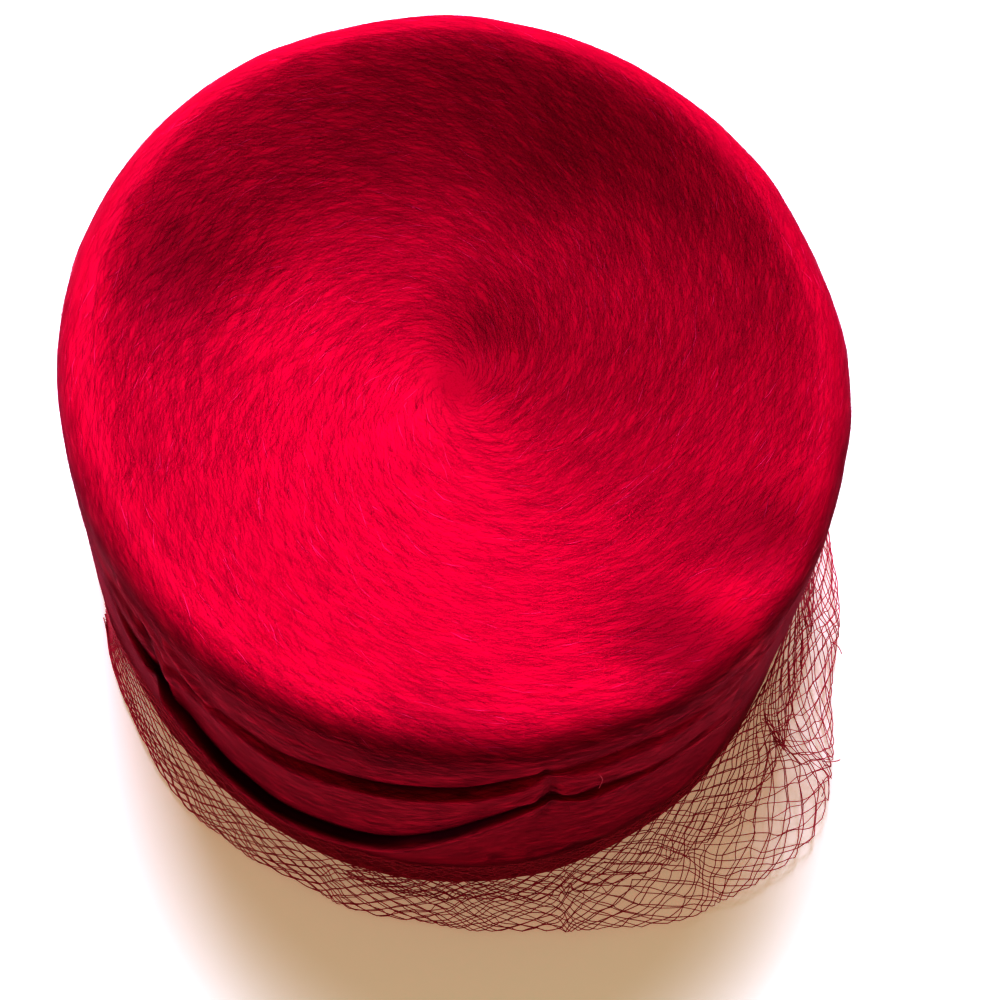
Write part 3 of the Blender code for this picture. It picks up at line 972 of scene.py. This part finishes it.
def net_point(azimuth, share, layer):
    """A point of the net, 0 at its sewn edge and 1 at its free one, which is folded back over itself."""
    waves_round, waves_down = NET_WAVES
    level = NOISE_START + NOISE_PER_LAYER * layer.number
    place = Vector((radians(azimuth) * waves_round, share * waves_down, level))
    shift, rise = pleats(azimuth)
    turned = azimuth + (shift + NET_SWAY * noise.noise(place)) * min(1.0, SWAY_GROWTH * share)
    back = read_table(FLARES, "back", turned)
    way = share * (1.0 + back)
    over = max(0.0, way - 1.0)
    flat = min(way, 1.0) - over
    crowded = mix(flat, 0.5 - 0.5 * cos(pi * flat), NET_CROWDING)
    slide = NET_SLIDE * flat * noise.noise(place + Vector((0.0, 0.0, SLIDE_NOISE)))
    point = net_surface(turned, (crowded + slide) * layer.reach)
    lift = rise * sin(pi * min(1.0, flat)) ** PLEAT_FULLNESS if 0.0 < flat < 1.0 else 0.0
    lift += NET_LAYER * (min(1.0, over / FOLD_WAY) + FOLD_ARCH * sin(pi * min(1.0, over / FOLD_ARCH_WAY)))
    billow = BILLOW_RAISE + noise.noise(place + Vector((0.0, 0.0, BILLOW_NOISE)))
    lift += max(0.0, NET_BILLOW * flat * billow)
    edge = max(0.0, 1.0 - abs(way - 1.0) / EDGE_WAY)
    lift += NET_LAYER / 2 * edge + NET_LAYER * layer.number * flat
    return point + np.array((0.0, 0.0, lift))


def net_threads(layer, random):
    """Paths of a layer's threads, which run both ways through staggered knots, and the knots."""
    long_steps, wide_steps = 2 * layer.columns, 2 * layer.rows
    shifts = random.normal(0.0, NET_JITTER, (long_steps + 1, wide_steps + 1, 2))
    rises = random.uniform(0.0, NET_LAYER, (long_steps + 1, wide_steps + 1))

    def place(start, end, share, slack):
        """A point of the thread between two knots, which bows by its slack."""
        shift = mix(shifts[start], shifts[end], share)
        bow = slack * sin(pi * share)
        column = mix(start[0], end[0], share) + shift[0] + bow
        row = min(max(mix(start[1], end[1], share) + shift[1] - bow, 0.0), wide_steps)
        point = net_point(mix(layer.start, layer.end, column / long_steps), row / wide_steps, layer)
        return point + np.array((0.0, 0.0, mix(rises[start], rises[end], share)))

    paths = []
    for direction in (1, -1):
        for first in range(-wide_steps, long_steps + wide_steps + 1, 2):
            cells = [(first + direction * j, j) for j in range(wide_steps + 1)]
            cells = [cell for cell in cells if 0 <= cell[0] <= long_steps]
            if len(cells) < 2:
                continue
            path = []
            for start, end in zip(cells, cells[1:]):
                slack = random.normal(0.0, NET_SLACK)
                path += [place(start, end, step / STEPS_PER_SIDE, slack) for step in range(STEPS_PER_SIDE)]
            path.append(place(cells[-1], cells[-1], 0.0, 0.0))
            paths.append(path)
    knots = []
    for i in range(long_steps + 1):
        for j in range(i % 2, wide_steps + 1, 2):
            knots.append(place((i, j), (i, j), 0.0, 0.0))
    return paths, knots


def fray(azimuth, random):
    """A loose curling end of thread at the net's outer edge."""
    path = [net_point(azimuth, FRAY_FROM, LAYERS[0])]
    heading = radians(azimuth) + random.uniform(-FRAY_SPREAD, FRAY_SPREAD)
    turn = random.uniform(-FRAY_TURN, FRAY_TURN)
    step = random.uniform(*FRAY_STEP)
    for number in range(FRAY_STEPS):
        heading += turn
        along = np.array((cos(heading), sin(heading), FRAY_RISE * sin(FRAY_WAVE * number)))
        path.append(path[-1] + step * along)
        path[-1][2] = max(path[-1][2], NET_FOOT)
    return path


def stray(route):
    """A fibre that lies just off the wall along a route."""
    points = [wall_point(azimuth, share * SHOULDER_HEIGHT, STRAY_STAND) for azimuth, share in route]
    return smooth_line(points, STRAY_STEPS)


def make_net(material):
    """The net veil as one piece: its threads, knots, frayed ends and the loose fibres on the wall."""
    random = np.random.default_rng(NET_SEED)
    paths, knots = [], []
    for layer in LAYERS:
        layer_paths, layer_knots = net_threads(layer, random)
        paths += layer_paths
        knots += layer_knots
    paths += [fray(azimuth, random) for azimuth in FRAYS]
    paths += [stray(route) for route in STRAYS]
    points, walls, caps, beads = [], [], [], []
    count = 0
    for path in paths:
        ring_points, ring_walls, ring_caps = tube(path, NET_THREAD, THREAD_SIDES)
        points.append(ring_points)
        walls.append(ring_walls + count)
        caps.append(ring_caps + count)
        count += len(ring_points)
    for place in knots:
        bead_points, bead_faces = knot(place, NET_KNOT)
        points.append(bead_points)
        beads.append(bead_faces + count)
        count += len(bead_points)
    faces = [np.concatenate(walls), np.concatenate(caps), np.concatenate(beads)]
    return new_piece("veil_net", np.concatenate(points), faces, material)


def set_inputs(node, values):
    """Sets a node's own sockets by their names."""
    for name, value in values.items():
        node.inputs[name].default_value = value


class Nodes:
    """Short names for building a material's node tree."""

    def __init__(self, name):
        self.material = bpy.data.materials.new(name)
        self.material.use_nodes = True
        self.tree = self.material.node_tree
        self.shader = self.tree.nodes["Principled BSDF"]

    def add(self, kind, **settings):
        node = self.tree.nodes.new("ShaderNode" + kind)
        for key, value in settings.items():
            setattr(node, key, value)
        return node

    def link(self, output, socket):
        self.tree.links.new(output, socket)

    def attribute(self, name):
        return self.add("Attribute", attribute_name=name)

    def scaled(self, vector, scale):
        """A vector output multiplied by three numbers."""
        node = self.add("VectorMath", operation="MULTIPLY")
        self.link(vector, node.inputs[0])
        node.inputs[1].default_value = scale
        return node.outputs["Vector"]

    def noise(self, vector, detail, roughness):
        node = self.add("TexNoise")
        set_inputs(node, {"Scale": 1.0, "Detail": detail, "Roughness": roughness})
        self.link(vector, node.inputs["Vector"])
        return node.outputs["Fac"]

    def ramp(self, factor, stops):
        """A colour ramp through (place, colour) stops."""
        node = self.add("ValToRGB")
        elements = node.color_ramp.elements
        while len(elements) < len(stops):
            elements.new(0.5)
        for element, (place, colour) in zip(elements, stops):
            element.position = place
            element.color = colour
        self.link(factor, node.inputs["Fac"])
        return node.outputs["Color"]

    def darken_by_painted_shade(self, colour):
        """A colour that turns nearly black where the piece's painted shade is high, in its folds, creases and
        shade spots.
        """
        node = self.add("Mix", data_type="RGBA")
        self.link(self.attribute("shade").outputs["Fac"], node.inputs["Factor"])
        self.link(colour, node.inputs["A"])
        node.inputs["B"].default_value = PAINTED_SHADE_RED
        return node.outputs["Result"]

    def object_normal(self, name, socket):
        """Leads a normal that is stored on the piece to a shader's or a bump's normal."""
        turn = self.add("VectorTransform", vector_type="NORMAL", convert_from="OBJECT", convert_to="WORLD")
        self.link(self.attribute(name).outputs["Vector"], turn.inputs["Vector"])
        self.link(turn.outputs["Vector"], socket)


def felt_material():
    """Fur felt: fine streaks of deeper red round the hat, shade painted into its folds, and normals that lean
    with the nap.
    """
    nodes = Nodes("red_felt")
    set_inputs(nodes.shader, FIBRE_LOOK)
    grain = nodes.attribute("grain").outputs["Vector"]
    streaks = nodes.noise(nodes.scaled(grain, FELT_GRAIN), detail=3.0, roughness=0.6)
    colour = nodes.ramp(streaks, FELT_STOPS)
    nodes.link(nodes.darken_by_painted_shade(colour), nodes.shader.inputs["Base Color"])
    bump = nodes.add("Bump")
    set_inputs(bump, FELT_BUMP)
    nodes.link(streaks, bump.inputs["Height"])
    nodes.object_normal("lean", bump.inputs["Normal"])
    nodes.link(bump.outputs["Normal"], nodes.shader.inputs["Normal"])
    return nodes.material


def nap_material():
    """Hairs of the nap: each has its own depth of red, a few are painted as glints, and each takes the felt's
    painted shade and shades as the felt under it does.
    """
    nodes = Nodes("red_nap")
    set_inputs(nodes.shader, FIBRE_LOOK)
    colour = nodes.ramp(nodes.attribute("tone").outputs["Fac"], NAP_STOPS)
    nodes.link(nodes.darken_by_painted_shade(colour), nodes.shader.inputs["Base Color"])
    nodes.object_normal("lean", nodes.shader.inputs["Normal"])
    return nodes.material


def thread_material():
    """Thin dyed net thread, a little darker in its twist."""
    nodes = Nodes("red_veiling")
    set_inputs(nodes.shader, THREAD_LOOK)
    position = nodes.add("NewGeometry").outputs["Position"]
    twist = nodes.noise(nodes.scaled(position, THREAD_GRAIN), detail=1.0, roughness=0.5)
    nodes.link(nodes.ramp(twist, THREAD_STOPS), nodes.shader.inputs["Base Color"])
    return nodes.material


def make_camera():
    """The photo's camera."""
    data = bpy.data.cameras.new("camera")
    data.lens = CAMERA_LENS
    data.sensor_width = CAMERA_SENSOR
    data.clip_start = 0.01
    camera = bpy.data.objects.new("camera", data)
    bpy.context.scene.collection.objects.link(camera)
    turn = Matrix((CAMERA_RIGHT, CAMERA_UP, CAMERA_BACK)).transposed().to_quaternion()
    camera.rotation_mode = "QUATERNION"
    camera.rotation_quaternion = turn
    camera.location = CAMERA_AT
    bpy.context.scene.camera = camera


def make_light(name, azimuth, elevation, distance, width, height, power, colour):
    """A soft panel that faces the hat."""
    data = bpy.data.lights.new(name, "AREA")
    data.shape = "RECTANGLE"
    data.size = width
    data.size_y = height
    data.energy = power
    data.color = colour
    light = bpy.data.objects.new(name, data)
    bpy.context.scene.collection.objects.link(light)
    turn, rise = radians(azimuth), radians(elevation)
    away = Vector((cos(turn) * cos(rise), sin(turn) * cos(rise), sin(rise)))
    light.location = away * distance
    light.rotation_mode = "QUATERNION"
    light.rotation_quaternion = away.to_track_quat("Z", "Y")


def make_studio():
    """A pale floor, a large cool window light from behind and a weak warm room light."""
    bpy.ops.mesh.primitive_plane_add(size=FLOOR_SIZE, location=(0.0, 0.0, 0.0))
    floor = bpy.context.object
    floor.name = "floor"
    nodes = Nodes("pale_floor")
    set_inputs(nodes.shader, FLOOR_LOOK)
    floor.data.materials.append(nodes.material)
    world = bpy.data.worlds.new("room")
    world.use_nodes = True
    set_inputs(world.node_tree.nodes["Background"], ROOM_LIGHT)
    bpy.context.scene.world = world
    make_light(
        "window",
        azimuth=84.0,
        elevation=53.0,
        distance=1.6,
        width=0.8,
        height=0.7,
        power=54.0,
        colour=(0.88, 1.0, 1.34),
    )
    view = bpy.context.scene.view_settings
    view.view_transform = "Standard"
    view.look = "None"
    view.gamma = VIEW_GAMMA


def main():
    make_camera()
    make_studio()
    surface = Surface(*felt_grid())
    felt = make_felt(surface, felt_material())
    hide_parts("crown")
    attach(felt, "root")
    nap_look = nap_material()
    for number in range(NAP_PIECES):
        nap = hair_piece(f"nap_{number + 1}", surface, NAP_SEED + number, nap_look)
        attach(nap, "root")
        nap.visible_shadow = False
    net = make_net(thread_material())
    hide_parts("veil")
    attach(net, "root")


main()
